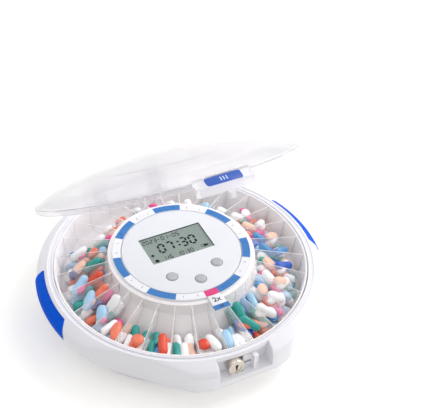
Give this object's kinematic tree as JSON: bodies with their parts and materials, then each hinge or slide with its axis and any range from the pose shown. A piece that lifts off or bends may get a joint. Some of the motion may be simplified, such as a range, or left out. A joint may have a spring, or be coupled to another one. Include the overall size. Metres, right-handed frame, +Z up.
{
  "type": "automatic pill dispenser",
  "caption": "Round locking pill dispenser with a turning ring of compartments, a central screen and buttons, and a clear hinged lid.",
  "frame": {"origin": "on the surface it stands on, below the middle of the turning tray", "axes": "+Z up along the tray's axis; the front with the lock faces -Y; the lid's hinge is at +Y, along X"},
  "size_m": [0.2272, 0.2259, 0.167],
  "materials": {
    "white_shell": "satin moulded",
    "blue_grip": "soft matt",
    "grey_base": "fine matt",
    "black_rubber": "matt",
    "zinc_steel": "zinc plated",
    "frosted_tray": "frosted moulding",
    "clear_lid": "clear moulding",
    "white_face": "satin",
    "screen_cover": "polished",
    "screen": "reflective display",
    "button_grey": "satin",
    "ring_blue": "printed",
    "gear_white": "moulded acetal",
    "board_green": "solder mask",
    "component_black": "moulded",
    "radio_can": "plain",
    "led_red": "clear epoxy",
    "cell_sleeve": "printed sleeve",
    "nickel": "nickel plated",
    "spring_steel": "plain",
    "press_blue": "satin",
    "natural_white": "moulded"
  },
  "bodies": {
    "base": {"upper_casing": "white_shell", "tray_well": "white_shell", "lock_recess": "white_shell", "lower_casing": "white_shell", "left_grip": "blue_grip", "right_grip": "blue_grip", "rubber_foot": "black_rubber", "casing_screws": "zinc_steel", "hub_housing": "grey_base", "hub_screws": "zinc_steel", "hub_face": "white_face", "lcd_window": "screen_cover", "lcd_display": "screen", "key_switches": "component_black", "circuit_board": "board_green", "board_screws": "zinc_steel", "buzzer": "component_black", "wifi_module": "radio_can", "alarm_led": "led_red", "index_sensor": "component_black", "motor": "zinc_steel", "motor_bracket": "spring_steel", "motor_screws": "zinc_steel", "battery_holder": "component_black", "batteries": "cell_sleeve", "battery_contacts": "spring_steel", "power_jack": "component_black", "lock_barrel": "nickel", "lock_clip": "spring_steel", "latch_catch": "natural_white", "hinge_pin": "zinc_steel"},
    "tray": {"tray_floor": "frosted_tray", "tray_rim_wall": "frosted_tray", "tray_slope": "frosted_tray", "tray_hub_wall": "frosted_tray", "tray_dividers": "frosted_tray", "tray_gear": "gear_white", "dosage_ring": "ring_blue"},
    "pinion": {"drive_pinion": "gear_white", "motor_shaft": "zinc_steel"},
    "lid": {"lid_shell": "clear_lid", "latch_pin": "zinc_steel"},
    "press_latch": {"press_panel": "press_blue", "latch_lever": "natural_white"},
    "button_left": {"button_left": "button_grey"},
    "button_centre": {"button_centre": "button_grey"},
    "button_right": {"button_right": "button_grey"},
    "lock": {"lock_plug": "nickel", "lock_cam": "nickel"},
    "battery_door": {"battery_door": "white_shell"}
  },
  "joints": [
    {"name": "lid_hinge", "type": "hinge", "parent": "base", "child": "lid", "pos_m": [0, 0.1108, 0.0314], "axis": [1, 0, 0], "range_deg": [-59, 36]},
    {"name": "press_latch_tilt", "type": "hinge", "parent": "lid", "child": "press_latch", "pos_m": [0, -0.06213, 0.16273], "axis": [-1, 0, 0], "range_deg": [0, 5], "stiffness_Nm_per_rad": 0.06, "springref_deg": -20.05},
    {"name": "tray_spin", "type": "hinge", "parent": "base", "child": "tray", "pos_m": [0, 0, 0.03], "axis": [0, 0, 1], "continuous": true},
    {"name": "pinion_spin", "type": "hinge", "parent": "base", "child": "pinion", "pos_m": [0, 0.0455, 0.018], "axis": [0, 0, 1], "continuous": true},
    {"name": "button_left_press", "type": "slide", "parent": "base", "child": "button_left", "axis": [0, 0, -1], "range_m": [0, 0.0007], "stiffness_N_per_m": 900, "springref_m": -0.0008},
    {"name": "button_centre_press", "type": "slide", "parent": "base", "child": "button_centre", "axis": [0, 0, -1], "range_m": [0, 0.0007], "stiffness_N_per_m": 900, "springref_m": -0.0008},
    {"name": "button_right_press", "type": "slide", "parent": "base", "child": "button_right", "axis": [0, 0, -1], "range_m": [0, 0.0007], "stiffness_N_per_m": 900, "springref_m": -0.0008},
    {"name": "lock_turn", "type": "hinge", "parent": "base", "child": "lock", "pos_m": [-0.007, -0.1055, 0.0273], "axis": [0, -1, 0], "range_deg": [0, 90]},
    {"name": "battery_door_slide", "type": "slide", "parent": "base", "child": "battery_door", "axis": [0, 1, 0], "range_m": [0, 0.008]}
  ],
  "couplings": [
    {"joint": "pinion_spin", "follows": "tray_spin", "ratio": 8}
  ]
}
